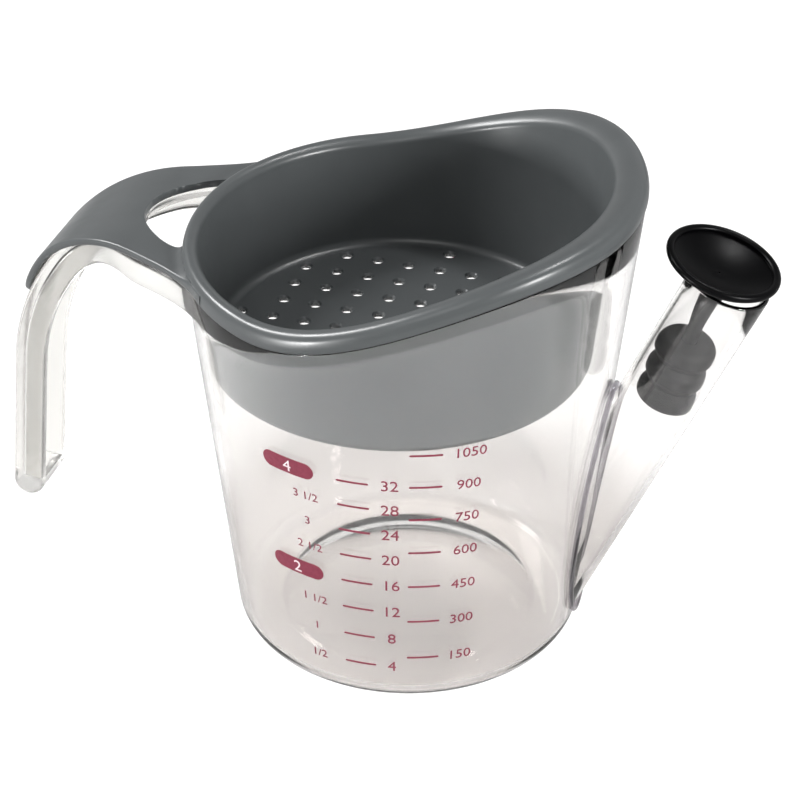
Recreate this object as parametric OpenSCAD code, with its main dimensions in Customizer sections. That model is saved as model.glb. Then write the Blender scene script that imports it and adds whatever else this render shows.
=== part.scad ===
// Fat separator jug: a clear tapered jug with a hook handle and a pouring spout
// that starts at the bottom, a perforated strainer that lifts out, and a
// stopper that pulls out of the spout.
// Frame: origin on the table at the jug's axis, +X towards the spout,
// -X towards the handle, +Z up. Millimetres.

/* [Jug] */
// Outer radius of the jug wall, carried down to the table
base_r = 56; // [52:0.5:60]
// Radius that the walls gain for each millimetre of height
wall_taper = 0.102; // [0.08:0.002:0.12]
// Thickness of the clear jug wall
jug_wall = 2.3; // [1.8:0.1:3]
// Thickness of the jug floor
floor_t = 3; // [2:0.5:5]
// Rounding of the outer edge of the base
base_edge_r = 7; // [5:0.5:8]
// Height of the rim line on the handle side
rim_low_z = 136.5; // [130:0.5:142]
// Height of the rim line on the spout side
rim_high_z = 161.5; // [154:0.5:168]
// Where the rim line starts to rise, along X
rim_rise_from = -33; // [-40:1:-25]
// Where the rim line stops rising, along X
rim_rise_to = 64; // [55:1:70]

/* [Spout] */
// Lean of the spout away from upright
spout_tilt = 23.3; // [21:0.1:25]
// Outer radius of the spout tube
spout_r = 12.4; // [11.9:0.1:13]
// Wall thickness of the spout tube
spout_wall = 1.7; // [1.4:0.1:2]
// How far inside the jug's base circle the spout's axis meets the table
spout_inset = 16.4; // [14.4:0.2:18]
// How far the middle of the spout's mouth lies under the high rim line
mouth_drop = 21; // [16:0.5:27]
// Top of the opening between the jug and the spout
port_top_z = 36; // [32:1:42]

/* [Handle] */
// Width of the handle across the grip
handle_w = 20; // [17:0.5:23]
// Depth of the handle's channel section
handle_t = 10.5; // [9:0.5:12]
// Wall of the handle's channel section
handle_wall = 3; // [2.4:0.1:3.6]
// How far the handle's flared root stands in from the tab's edges
handle_root_inset = 2; // [1.5:0.1:3]
// Straight run of the handle out from the jug's rim
handle_out = 13.6; // [10:0.2:18]
// Radius of the upper bend
bend_r = 43; // [40:0.5:46]
// Radius of the lower, wider bend
sweep_r = 84; // [78:1:90]
// Length of the straight grip below the bends
grip_length = 50; // [44:1:54]

/* [Strainer] */
// How far the basket stands off centre, towards the handle
basket_shift = 2.9; // [2:0.1:3.5]
// Clearance between basket and jug at their closest
basket_gap = 0.4; // [0.3:0.05:0.8]
// Wall thickness of the basket
basket_wall = 2.2; // [1.8:0.1:2.6]
// Depth of the basket's underside below the low rim line
basket_depth = 37.5; // [32:0.5:42]
// Rounding of the basket's lower edge
basket_edge_r = 4; // [2.5:0.5:5]
// Diameter of a drain hole
drain_d = 3.2; // [2.4:0.1:4]
// Pitch of the square grid of drain holes
drain_pitch = 10.7; // [9:0.1:13]
// Solid ring left between the holes and the basket's wall
drain_margin = 3.2; // [3:0.2:8]
// Depth of the step round the jug's rim that the flange's lip sits in
rim_step = 1.2; // [1:0.05:1.3]
// Height of the flange's crest over the rim line
flange_crown = 1.9; // [1.4:0.1:2.4]
// Depth of the flange's outer lip under the rim line
lip_drop = 4; // [3.4:0.1:4.6]
// Thickness of the flange and of the tab
sheet_t = 2.4; // [2:0.1:2.8]
// Length of the tab out from the flange, over the handle
tab_length = 61; // [57:0.5:64]
// Width of the tab where it leaves the flange
tab_shoulder_w = 59; // [56:0.5:62]
// How far out from the flange the tab's shoulder lies
tab_shoulder_out = 9; // [8:0.2:10]
// Width of the tab where its nose starts
tab_neck_w = 33.6; // [31:0.2:36]
// Length of the opening in the tab, out from the flange
tab_hole_l = 16.4; // [14:0.2:18]
// Width of the opening in the tab, at the flange
tab_hole_w = 46; // [42:0.5:48]

/* [Stopper] */
// Lean of the stopper in the spout, back towards upright
stopper_lean = 6.8; // [5:0.1:7.2]
// Radius of the plug's ribs
plug_r = 9.3; // [8.4:0.1:9.4]
// Length of the plug
plug_length = 24; // [20:0.5:26]
// Depth of the grooves between the ribs
groove_depth = 1.6; // [1:0.1:2]
// Width of the grooves between the ribs
groove_w = 1.8; // [1.2:0.1:2.4]
// Distance from the spout's mouth down its axis to the middle of the plug
plug_depth = 36; // [33:0.5:40]
// Radius of the neck between plug and cap
neck_r = 2.6; // [2:0.1:3.2]
// Outer radius of the cap
cap_r = 17.9; // [17:0.1:19]
// Height of the cap's rim over the spout's mouth
cap_rise = 5.4; // [5:0.1:6]
// Depth of the cap's dish
dish_depth = 4; // [3:0.1:4.2]
// Thickness of the cap's skin
cap_skin = 1.6; // [1.4:0.1:1.8]

/* [Scale] */
// Thickness of the printed ink
ink_t = 0.12; // [0.1:0.02:0.2]
// Volume between two marks, in millilitres
mark_step_ml = 118.3; // [100:0.1:125]
// Number of marks
mark_count = 8; // [4:1:8]
// Volume between two marks of the second column, in millilitres
metric_step_ml = 157; // [140:1:165]
// Number of marks in the second column
metric_count = 7; // [4:1:7]
// Length of a printed dash
dash_l = 10; // [6:0.5:12]
// Height of a printed dash
dash_h = 0.7; // [0.5:0.1:1]
// Length of an oval cup badge
badge_l = 18.5; // [14:0.5:20]
// Height of an oval cup badge
badge_h = 6; // [5:0.5:7]

/* [Hidden] */
$fn = 96;
clear_col = [0.86, 0.88, 0.89, 0.35];
gray_col = [0.45, 0.45, 0.44];
plug_col = [0.30, 0.30, 0.31];
cap_col = [0.05, 0.05, 0.05];
ink_col = [0.72, 0.16, 0.25];

fit_gap = 0.3;                 // between the strainer or stopper and the jug
cut = 1;                       // how far a cutter runs past what it cuts
big = 400;
slant = sqrt(1 + wall_taper * wall_taper);
top_z = 1.2 * rim_high_z;
basket_floor_z = rim_low_z - basket_depth;
spout_foot_x = base_r - spout_inset;
spout_length = (rim_high_z - mouth_drop) / cos(spout_tilt);
flange_r = jug_r(rim_low_z);   // outer radius of the flange on the handle side
handle_run = flange_r + handle_out;
tab_reach = flange_r + tab_length;

// Radius of the jug's outer and inner wall at a height
function jug_r(z) = base_r + wall_taper * z;
function jug_bore_r(z) = jug_r(z) - jug_wall * slant;
// Radius of the basket's outer and inner wall at a height, about the basket's own axis
function basket_r(z) = jug_bore_r(z) - basket_gap - basket_shift;
function basket_bore_r(z) = basket_r(z) - basket_wall;

// Height of the rim line: level, an S-curve, then level again
function ease(t) = let (c = max(0, min(1, t))) c * c * (3 - 2 * c);
function rim_z(x) = rim_low_z
    + (rim_high_z - rim_low_z) * ease((x - rim_rise_from) / (rim_rise_to - rim_rise_from));

// Points of a cubic Bezier curve, without its last point
function bezier(a, b, c, d, n = 12) =
    [for (i = [0 : n - 1]) let (t = i / n, u = 1 - t)
        a * u * u * u + 3 * b * u * u * t + 3 * c * u * t * t + d * t * t * t];
function flip_y(points) =
    [for (i = [len(points) - 1 : -1 : 0]) [points[i][0], -points[i][1]]];

// Everything under the rim line, lowered by some amount
rim_steps = 32;
module below_rim(drop) {
    curve = [for (i = [0 : rim_steps])
        let (x = rim_rise_from + (rim_rise_to - rim_rise_from) * i / rim_steps)
            [x, rim_z(x) - drop]];
    rotate([90, 0, 0])
        linear_extrude(height = big, center = true)
            polygon(concat([[-big, -big], [-big, rim_low_z - drop]], curve,
                           [[big, rim_high_z - drop], [big, -big]]));
}

// Half section of a tapered cup with a rounded lower edge: r0 is the wall's
// radius carried down to height z0, where the flat bottom lies
module cup_half(r0, z0, edge, z1) {
    cx = r0 + wall_taper * edge - edge * slant;
    wall_x = cx + edge / slant;
    wall_z = z0 + edge - wall_taper * edge / slant;
    polygon([[0, z0], [cx, z0], [cx, z0 + edge], [wall_x, wall_z],
             [r0 + wall_taper * (z1 - z0), z1], [0, z1]]);
    translate([cx, z0 + edge])
        circle(edge);
}

module jug_solid() {
    rotate_extrude()
        cup_half(jug_r(0), 0, base_edge_r, top_z);
}

// ---------- spout ----------

spout_bore_r = spout_r - spout_wall;

// Frame of the spout: its +Z runs up the spout's axis from the table
module along_spout() {
    translate([spout_foot_x, 0, 0])
        rotate([0, spout_tilt, 0])
            children();
}

// Frame of the stopper: its origin is the middle of the plug
module along_stopper() {
    along_spout()
        translate([0, 0, spout_length - plug_depth])
            rotate([0, -stopper_lean, 0])
                children();
}

mouth_s = plug_depth * cos(stopper_lean);   // the mouth's plane, in the stopper's frame

// Where the inside of the flange's lip ends, under the rim line
lip_corner_drop = 1.2;

// Wall and floor of the jug, with the wall's outer face stepped in
module jug_shell(step) {
    rotate_extrude()
        difference() {
            cup_half(jug_r(0) - step, 0, base_edge_r, top_z);
            cup_half(jug_bore_r(floor_t), floor_t, base_edge_r - jug_wall, top_z + cut);
        }
}

port_sill = 1;                 // height of the opening's lower edge over the floor

module jug_body() {
    color(clear_col)
        difference() {
            union() {
                intersection() {
                    jug_shell(0);
                    below_rim(lip_drop + fit_gap);
                }
                intersection() {
                    jug_shell(rim_step);
                    below_rim(lip_corner_drop + fit_gap);
                }
            }
            // opening between the jug and the spout
            intersection() {
                along_spout()
                    cylinder(h = spout_length, r = spout_bore_r);
                translate([0, -big / 2, 0])
                    cube([big, big, port_top_z]);
                translate([0, -big / 2, floor_t + port_sill])
                    cube(big);
            }
        }
}

module spout() {
    color(clear_col)
        difference() {
            along_spout()
                cylinder(h = spout_length + spout_r, r = spout_r);
            along_spout()
                translate([0, 0, -cut])
                    cylinder(h = spout_length + 2 * spout_r, r = spout_bore_r);
            jug_solid();
            translate([-big / 2, -big / 2, base_edge_r - big])
                cube(big);
            along_stopper()
                translate([-big / 2, -big / 2, mouth_s])
                    cube(big);
        }
}

// ---------- handle ----------

handle_top_z = rim_low_z - lip_drop - fit_gap;
bend_end_a = 145;
sweep_end_a = 174.5;
path_step = 2.5;
bend_c = [-handle_run, handle_top_z - bend_r];
sweep_c = bend_c + (bend_r - sweep_r) * [cos(bend_end_a), sin(bend_end_a)];

// The handle's outer face in the XZ plane, from the jug's axis out and down.
// Each entry is [point, outward direction].
handle_path = concat(
    [[[0, handle_top_z], [0, 1]]],
    [for (a = [90 : path_step : bend_end_a - path_step / 2]) arc_entry(bend_c, bend_r, a)],
    [for (a = [bend_end_a : path_step : sweep_end_a - path_step / 2])
        arc_entry(sweep_c, sweep_r, a)],
    [arc_entry(sweep_c, sweep_r, sweep_end_a)]);
function arc_entry(centre, radius, a) =
    [centre + radius * [cos(a), sin(a)], [cos(a), sin(a)]];
// The path shifted outwards, and run straight on past its last point
function shifted_path(d, run_on) =
    let (last = handle_path[len(handle_path) - 1])
    concat([for (e = handle_path) e[0] + d * e[1]],
           [last[0] + d * last[1] + run_on * [-last[1][1], last[1][0]]]);
function reversed(points) = [for (i = [len(points) - 1 : -1 : 0]) points[i]];

// A band along the path between two distances from the handle's outer face
module path_band(outer, inner, run_on) {
    rotate([90, 0, 0])
        linear_extrude(height = big / 2, center = true)
            polygon(concat(shifted_path(outer, run_on),
                           reversed(shifted_path(inner, run_on))));
}

// Plan of the tab's and the handle's edges: they leave the flange at root_a,
// curve in to the shoulder and fall from there along one slope to the neck
root_a = 43;
root_pull = [-9, -11];
fall = [-10, -4.4];
shoulder_x = -flange_r - tab_shoulder_out;
function root_curve(root, shoulder) =
    bezier(root, root + root_pull, shoulder - 0.8 * fall, shoulder);

// Plan of the handle: flared beside the jug, then as wide as the grip
module handle_outline(inset) {
    side_inset = handle_root_inset + inset * norm(fall) / abs(fall[0]);
    root = flange_r * [-cos(root_a), sin(root_a)] - [0, side_inset];
    shoulder = [shoulder_x, tab_shoulder_w / 2 - side_inset];
    neck = [-handle_run - bend_r * sin(45), handle_w / 2 - inset];
    far = [-big, neck[1]];
    upper = concat([[0, root[1]]], root_curve(root, shoulder),
                   bezier(shoulder, shoulder + fall, neck - [fall[0], 0], neck),
                   [neck, far]);
    polygon(concat(upper, flip_y(upper)));
}

module handle() {
    end_c = shifted_path(-handle_t / 2, grip_length)[len(handle_path)];
    color(clear_col)
        difference() {
            intersection() {
                union() {
                    path_band(0, -handle_t, grip_length);
                    translate([end_c[0], 0, end_c[1]])
                        rotate([90, 0, 0])
                            cylinder(h = 2 * handle_w, r = handle_t / 2, center = true);
                }
                translate([0, 0, -big / 2])
                    linear_extrude(height = big)
                        handle_outline(0);
            }
            intersection() {
                path_band(-handle_wall, -2 * handle_t, grip_length - handle_wall / 2);
                translate([0, 0, -big / 2])
                    linear_extrude(height = big)
                        handle_outline(handle_wall);
            }
            linear_extrude(height = big)
                tab_hole();
            jug_solid();
        }
}

// ---------- strainer ----------

flange_depth = 7;              // how far down the flange's inner wall runs

module strainer_basket() {
    floor_top_z = basket_floor_z + basket_wall;
    drain_r = basket_bore_r(floor_top_z) - drain_margin - drain_d / 2;
    rows = ceil(drain_r / drain_pitch);
    color(gray_col)
        translate([-basket_shift, 0, 0])
            difference() {
                intersection() {
                    rotate_extrude()
                        difference() {
                            cup_half(basket_r(basket_floor_z), basket_floor_z,
                                     basket_edge_r, top_z);
                            cup_half(basket_bore_r(floor_top_z), floor_top_z,
                                     basket_edge_r - basket_wall / 2, top_z + cut);
                        }
                    translate([basket_shift, 0, 0])
                        below_rim(flange_depth);
                }
                for (i = [-rows : rows], j = [-rows : rows])
                    if (norm([i, j]) * drain_pitch <= drain_r)
                        translate([i * drain_pitch, j * drain_pitch, basket_floor_z - cut])
                            cylinder(h = basket_wall + 2 * cut, d = drain_d, $fn = 24);
            }
}

// The flange's section, going round it. Each row is [how far from the inner edge
// to the outer edge, shift outwards, height over the rim line]. The inner wall
// and the outer face of the lip follow the walls' taper.
wall_in = wall_taper * flange_depth;
lip_inner = fit_gap - rim_step;
flange_section = [
    [0, -wall_in, -flange_depth], [0, 0, -1.6], [0.03, 0, -0.3], [0.14, 0, 0.8 * flange_crown / 2],
    [0.34, 0, 0.85 * flange_crown], [0.56, 0, flange_crown], [0.76, 0, 0.8 * flange_crown],
    [0.91, 0, 0.2 * flange_crown], [0.985, 0, -1.5], [1, 0, -3], [1, 0, -lip_drop],
    [1, lip_inner, -lip_drop], [1, lip_inner, -lip_corner_drop],
    [0.8, 0, flange_crown - 1.05 * sheet_t], [0.56, 0, flange_crown - sheet_t],
    [0.42, 0, 0.9 * flange_crown - sheet_t],
    [0, basket_wall, -1.8], [0, basket_wall - wall_in, -flange_depth]];

// A point of the flange: the inner edge is round the basket's axis, the outer
// edge round the jug's, and both follow the wall's taper up the rim line
function flange_point(a, row) =
    let (inner_0 = basket_bore_r(rim_low_z),
         outer_0 = jug_r(rim_low_z),
         inner_x = inner_0 * cos(a) - basket_shift,
         outer_x = outer_0 * cos(a),
         inner_r = basket_bore_r(rim_z(inner_x)),
         outer_r = jug_r(rim_z(outer_x)),
         inner = [inner_r * cos(a) - basket_shift, inner_r * sin(a)],
         outer = [outer_r * cos(a), outer_r * sin(a)],
         p = inner + (outer - inner) * row[0] + row[1] * [cos(a), sin(a)])
    [p[0], p[1], rim_z(p[0]) + row[2]];

module strainer_flange() {
    stations = 96;
    rows = len(flange_section);
    points = [for (i = [0 : stations - 1], row = flange_section)
        flange_point(360 * i / stations, row)];
    faces = [for (i = [0 : stations - 1], j = [0 : rows - 1])
        let (a = i * rows + j, b = i * rows + (j + 1) % rows,
             c = (i + 1) % stations * rows + (j + 1) % rows,
             d = (i + 1) % stations * rows + j)
        each [[a, b, c], [a, c, d]]];
    color(gray_col)
        polyhedron(points, faces);
}

nose_l = 17;                   // length of the tab's rounded nose

module tab_outline() {
    root = flange_r * [-cos(root_a), sin(root_a)];
    shoulder = [shoulder_x, tab_shoulder_w / 2];
    neck = [nose_l - tab_reach, tab_neck_w / 2];
    nose = [-tab_reach, 0];
    upper = concat([[0, root[1]]], root_curve(root, shoulder),
                   bezier(shoulder, shoulder + fall, neck - fall, neck),
                   bezier(neck, neck + fall, nose + [0, tab_neck_w / 4], nose));
    polygon(concat(upper, [nose], flip_y(upper)));
}

module tab_hole() {
    tip = [-flange_r - tab_hole_l, 0];
    side = [-flange_r - tab_hole_l / 3, 0.4 * tab_hole_w];
    corner = [cut - sqrt(pow(flange_r, 2) - pow(tab_hole_w / 2, 2)), tab_hole_w / 2];
    side_pull = [5.5, 4.5];
    upper = concat(
        bezier(tip, tip + [0, tab_hole_l / 2], side - side_pull, side),
        bezier(side, side + side_pull / 2, corner - [side_pull[0] / 2, 0], corner),
        [corner]);
    polygon(concat(upper, flip_y(upper)));
}

module strainer_tab() {
    lap = 0.35;                // how far the tab runs into the flange
    color(gray_col)
        intersection() {
            path_band(fit_gap + sheet_t, fit_gap, 0);
            linear_extrude(height = big)
                difference() {
                    tab_outline();
                    tab_hole();
                    circle(flange_r - lap);
                }
        }
}

// ---------- stopper ----------

cap_rim_s = mouth_s + cap_rise;
bead_r = 1.3;                  // of the bead round the cap's rim
dish_r = cap_r - bead_r;
dish_curve_r = (dish_r * dish_r + dish_depth * dish_depth) / 2 / dish_depth;
dish_c = [0, cap_rim_s + dish_curve_r - dish_depth];
socket_l = 0.6 * plug_length;  // how far the stem runs into the plug

module stopper_plug() {
    rib_pitch = (plug_length + groove_w) / 3;
    half = plug_length / 2;
    round_r = 3;
    color(plug_col)
        along_stopper()
            rotate_extrude()
                difference() {
                    union() {
                        translate([0, -half + round_r])
                            square([plug_r, plug_length - 2 * round_r]);
                        translate([0, -half])
                            square([plug_r - round_r, plug_length]);
                        for (z = [-half + round_r, half - round_r])
                            translate([plug_r - round_r, z])
                                circle(round_r);
                    }
                    for (k = [1, 2])
                        translate([plug_r - groove_depth, half - k * rib_pitch])
                            square([groove_depth + cut, groove_w]);
                    // socket for the stem
                    translate([0, half - socket_l])
                        square([neck_r, plug_length]);
                }
}

// A straight neck that flares out under the cap
module stopper_stem() {
    foot_z = plug_length / 2 - socket_l;
    flare_r = 1.8 * neck_r;
    flare_l = 7;
    flare_z = cap_rim_s - dish_depth - cap_skin;
    color(plug_col)
        along_stopper()
            rotate_extrude()
                difference() {
                    polygon([[0, foot_z], [neck_r, foot_z], [neck_r, flare_z - flare_l],
                             [flare_r, flare_z], [flare_r, flare_z + cap_skin],
                             [0, flare_z + cap_skin]]);
                    translate(dish_c)
                        circle(dish_curve_r + cap_skin);
                }
}

// A shallow dish with a bead round its rim
module stopper_cap() {
    color(cap_col)
        along_stopper()
            rotate_extrude() {
                translate([dish_r, cap_rim_s])
                    circle(bead_r);
                intersection() {
                    difference() {
                        translate(dish_c)
                            circle(dish_curve_r + cap_skin);
                        translate(dish_c)
                            circle(dish_curve_r);
                    }
                    translate([0, cap_rim_s - 2 * dish_depth])
                        square([dish_r, 2 * dish_depth]);
                }
            }
}

// ---------- printed scale ----------

// Height to which a volume in millilitres fills the jug
function fill_z(ml) =
    let (r_floor = jug_bore_r(floor_t),
         cube_r = 3 * wall_taper * ml * 1000 / PI + pow(r_floor, 3))
    floor_t + (pow(cube_r, 1 / 3) - r_floor) / wall_taper;

// Directions of the column of badges and of the two columns of dashes
badge_a = -106.5;
dash_as = [-87.5, -68];

// A thin skin on the outside of the jug wall
module ink_skin() {
    rotate_extrude()
        polygon([[jug_r(base_edge_r), base_edge_r], [jug_r(base_edge_r) + ink_t, base_edge_r],
                 [jug_r(handle_top_z) + ink_t, handle_top_z],
                 [jug_r(handle_top_z), handle_top_z]]);
}

// One column of dashes, from the lowest up
module dash_column(direction, step_ml, count) {
    rotate([0, 0, direction])
        for (i = [1 : count])
            translate([base_r, -dash_l / 2, fill_z(i * step_ml) - dash_h / 2])
                cube([base_r, dash_l, dash_h]);
}

module scale_marks() {
    color(ink_col)
        intersection() {
            ink_skin();
            union() {
                dash_column(dash_as[0], mark_step_ml, mark_count);
                dash_column(dash_as[1], metric_step_ml, metric_count);
            }
        }
}

module cup_badges() {
    color(ink_col)
        intersection() {
            ink_skin();
            for (i = [mark_count / 2, mark_count])
                rotate([0, 0, badge_a])
                    translate([base_r, 0, fill_z(i * mark_step_ml)])
                        rotate([0, 90, 0]) {
                            translate([-badge_h / 2, -(badge_l - badge_h) / 2, 0])
                                cube([badge_h, badge_l - badge_h, base_r]);
                            for (side = [-1, 1])
                                translate([0, side * (badge_l - badge_h) / 2, 0])
                                    cylinder(h = base_r, d = badge_h);
                        }
        }
}

jug_body();
spout();
handle();
strainer_basket();
strainer_flange();
strainer_tab();
stopper_plug();
stopper_stem();
stopper_cap();
scale_marks();
cup_badges();
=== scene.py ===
"""Looks of the fat separator jug: a clear moulded jug with spout and hook handle, a gray
strainer that hangs on its rim, a stopper in the spout and a red printed volume scale."""
import math

import bmesh
import bpy
from mathutils import Matrix, Vector
from mathutils.geometry import delaunay_2d_cdt


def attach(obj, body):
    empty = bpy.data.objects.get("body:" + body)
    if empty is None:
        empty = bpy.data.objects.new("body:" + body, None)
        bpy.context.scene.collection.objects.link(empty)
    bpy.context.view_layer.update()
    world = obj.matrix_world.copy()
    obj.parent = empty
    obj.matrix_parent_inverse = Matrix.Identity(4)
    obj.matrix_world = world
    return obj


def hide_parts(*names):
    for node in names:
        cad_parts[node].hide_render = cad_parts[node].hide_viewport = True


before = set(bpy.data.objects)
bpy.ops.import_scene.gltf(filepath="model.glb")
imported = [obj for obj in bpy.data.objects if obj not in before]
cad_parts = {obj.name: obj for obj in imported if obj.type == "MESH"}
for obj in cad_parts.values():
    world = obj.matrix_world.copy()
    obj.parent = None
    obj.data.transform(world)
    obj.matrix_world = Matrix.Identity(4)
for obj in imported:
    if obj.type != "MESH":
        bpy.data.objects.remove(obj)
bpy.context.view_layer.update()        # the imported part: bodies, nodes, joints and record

# -------------------------------- sizes, in millimetres
MM = 0.001

BASE_R = 56.0                 # outer radius of the jug's wall, carried down to the table
TAPER = 0.102                 # radius gained for each millimetre of height
JUG_WALL = 2.3
FLOOR_T = 3.0
BASE_EDGE_R = 7.0
BASE_RECESS = 1.0             # the underside is hollow by this much, inside a ring
FOOT_RING_IN, FOOT_RING_OUT = 40.0, 44.0
RIM_LOW_Z, RIM_HIGH_Z = 136.5, 161.5
RIM_RISE_FROM, RIM_RISE_TO = -33.0, 64.0
FIT_GAP = 0.3                 # between pieces that come apart
BOND_GAP = 0.04               # hairline between the jug's wall and what is bonded to it
RIM_STEP = 1.2                # step round the jug's rim that the flange's lip sits in
LIP_CORNER_DROP = 1.2         # from the rim line down to the inner corner of the flange's lip

SPOUT_TILT = math.radians(23.3)
SPOUT_R = 12.4
SPOUT_WALL = 1.7
SPOUT_FOOT_X = BASE_R - 16.4
MOUTH_DROP = 21.0
SPOUT_L = (RIM_HIGH_Z - MOUTH_DROP) / math.cos(SPOUT_TILT)
PORT_LOW_Z, PORT_HIGH_Z = 4.0, 36.0

HANDLE_W = 20.0
HANDLE_T = 10.5
HANDLE_WALL = 3.0
HANDLE_OUT = 13.6
BEND_R, BEND_END = 43.0, math.radians(145)           # upper bend and where it ends
SWEEP_R, SWEEP_END = 84.0, math.radians(174.5)       # wider bend below it
GRIP_L = 50.0
HANDLE_ROOT_INSET = 2.0
HANDLE_START_X = -50.0        # handle and tab are swept from here, inside the jug's wall

BASKET_SHIFT = 2.9
BASKET_GAP = 0.4
BASKET_WALL = 2.2
BASKET_FLOOR_Z = RIM_LOW_Z - 37.5
BASKET_EDGE_R = 4.0
DRAIN_D = 3.2
DRAIN_PITCH = 10.7
DRAIN_MARGIN = 3.2
DRAIN_CHAMFER = 0.6
FLANGE_CROWN = 1.9
FLANGE_DEPTH = 7.0
LIP_DROP = 4.0
SHEET_T = 2.4
TAB_LENGTH = 61.0
TAB_SHOULDER_W = 59.0
TAB_SHOULDER_OUT = 9.0
TAB_NECK_W = 33.6
TAB_NOSE_L = 17.0
TAB_HOLE_L, TAB_HOLE_W = 16.4, 46.0

STOPPER_LEAN = math.radians(6.8)
PLUG_R = 9.3
PLUG_L = 24.0
PLUG_DEPTH = 36.0
GROOVE_DEPTH, GROOVE_W = 1.6, 1.8
NECK_R = 2.6
CAP_R = 17.9
CAP_RISE = 5.4
DISH_DEPTH = 4.0
CAP_SKIN = 1.6

INK_T = 0.12
INK_GAP = 0.01                # hairline between the ink and the wall
HALF_CUP_ML, HALF_CUP_OUNCES, HALF_CUP_MARKS = 118.3, 4, 8
METRIC_STEP_ML = 157.0        # spacing of the second column's marks, read from the photograph
METRIC_STEP_LABEL, METRIC_MARKS = 150, 7
DASH_L, DASH_H = 10.0, 0.7
BADGE_L, BADGE_H = 18.5, 6.0
# columns of the print: directions round the jug in degrees, 0 towards the spout, -90 to the front
BADGE_A, CUP_A, CUP_DASH_A = -106.5, -101.5, -87.5
OUNCE_A, METRIC_DASH_A, METRIC_A = -77.5, -68.0, -56.5

ROUND = 192                   # stations round a turned or lofted piece
AXIS_R = 0.3                  # turned sections stop this far from their axis
SLANT = math.hypot(1, TAPER)


def jug_r(z):
    """Radius of the jug's outer wall at a height."""
    return BASE_R + TAPER * z


def jug_bore_r(z):
    """Radius of the jug's inner wall at a height."""
    return jug_r(z) - JUG_WALL * SLANT


def basket_r(z):
    """Radius of the basket's outer wall at a height, about the basket's own axis."""
    return jug_bore_r(z) - BASKET_GAP - BASKET_SHIFT


def basket_bore_r(z):
    """Radius of the basket's inner wall at a height, about the basket's own axis."""
    return basket_r(z) - BASKET_WALL


def ease(t):
    """S-curve from 0 to 1."""
    c = max(0.0, min(1.0, t))
    return c * c * (3 - 2 * c)


def rim_z(x):
    """Height of the rim line over a place along X."""
    return RIM_LOW_Z + (RIM_HIGH_Z - RIM_LOW_Z) * ease((x - RIM_RISE_FROM) / (RIM_RISE_TO - RIM_RISE_FROM))


def below_rim(angle, radius_at, drop):
    """Height at which a tapered wall meets the rim line lowered by drop."""
    z = RIM_LOW_Z
    for _ in range(12):
        z = rim_z(radius_at(z) * math.cos(angle)) - drop
    return z


FLANGE_R = jug_r(RIM_LOW_Z)
HANDLE_TOP_Z = RIM_LOW_Z - LIP_DROP - FIT_GAP
HANDLE_RUN = FLANGE_R + HANDLE_OUT


# -------------------------------- mesh building
def arc(cx, cy, radius, start, end, count):
    """Points of an arc in a plane, from one angle to another in degrees."""
    angles = [math.radians(start + (end - start) * i / count) for i in range(count + 1)]
    return [(cx + radius * math.cos(a), cy + radius * math.sin(a)) for a in angles]


def spaced(low, high, count):
    """Values from low to high in equal steps."""
    return [low + (high - low) * k / count for k in range(count + 1)]


def circle(x, y, radius, count):
    """Points of a circle in plan."""
    angles = [2 * math.pi * k / count for k in range(count)]
    return [(x + radius * math.cos(a), y + radius * math.sin(a)) for a in angles]


def bezier(a, b, c, d, count=24):
    """Points of a cubic curve without its last point."""
    points = []
    for i in range(count):
        t = i / count
        u = 1 - t
        weights = (u * u * u, 3 * u * u * t, 3 * u * t * t, t * t * t)
        points.append(tuple(sum(w * p[k] for w, p in zip(weights, (a, b, c, d))) for k in (0, 1)))
    return points


def through(points, steps):
    """A smooth open curve through points of any dimension, with steps between two of them."""
    padded = [points[0]] + list(points) + [points[-1]]
    curve = []
    for i in range(1, len(padded) - 2):
        p0, p1, p2, p3 = padded[i - 1:i + 3]
        for s in range(steps):
            t = s / steps
            curve.append(tuple(
                0.5 * (2 * b + (c - a) * t + (2 * a - 5 * b + 4 * c - d) * t * t
                       + (3 * b - a - 3 * c + d) * t ** 3)
                for a, b, c, d in zip(p0, p1, p2, p3)))
    return curve + [points[-1]]


def loft_faces(stations, rows, around=True, along=False):
    """Quads of a grid of stations times rows, closed around the stations, along the rows, or both."""
    faces = []
    for i in range(stations if around else stations - 1):
        for j in range(rows if along else rows - 1):
            a, b = i * rows + j, i * rows + (j + 1) % rows
            c, d = (i + 1) % stations * rows + (j + 1) % rows, (i + 1) % stations * rows + j
            faces.append((a, b, c, d))
    return faces


def end_fans(stations, rows):
    """The two faces that close a grid at its first and its last row."""
    first = tuple(i * rows for i in range(stations))
    last = tuple(i * rows + rows - 1 for i in range(stations))
    return [first, last[::-1]]


def mesh_object(name, points, faces, smooth=35.0):
    """An object from points in millimetres, with its faces turned outwards and sharp edges kept."""
    mesh = bpy.data.meshes.new(name)
    mesh.from_pydata([Vector(p) * MM for p in points], [], faces)
    obj = bpy.data.objects.new(name, mesh)
    bpy.context.collection.objects.link(obj)
    clean(obj, smooth)
    return obj


def clean(obj, smooth=35.0):
    """Merges doubled points, turns the faces outwards and sets smooth shading."""
    work = bmesh.new()
    work.from_mesh(obj.data)
    bmesh.ops.remove_doubles(work, verts=work.verts, dist=0.002 * MM)
    bmesh.ops.dissolve_degenerate(work, edges=work.edges, dist=0.001 * MM)
    bmesh.ops.recalc_face_normals(work, faces=work.faces)
    work.to_mesh(obj.data)
    work.free()
    obj.data.polygons.foreach_set("use_smooth", [True] * len(obj.data.polygons))
    obj.data.set_sharp_from_angle(angle=math.radians(smooth))


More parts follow.
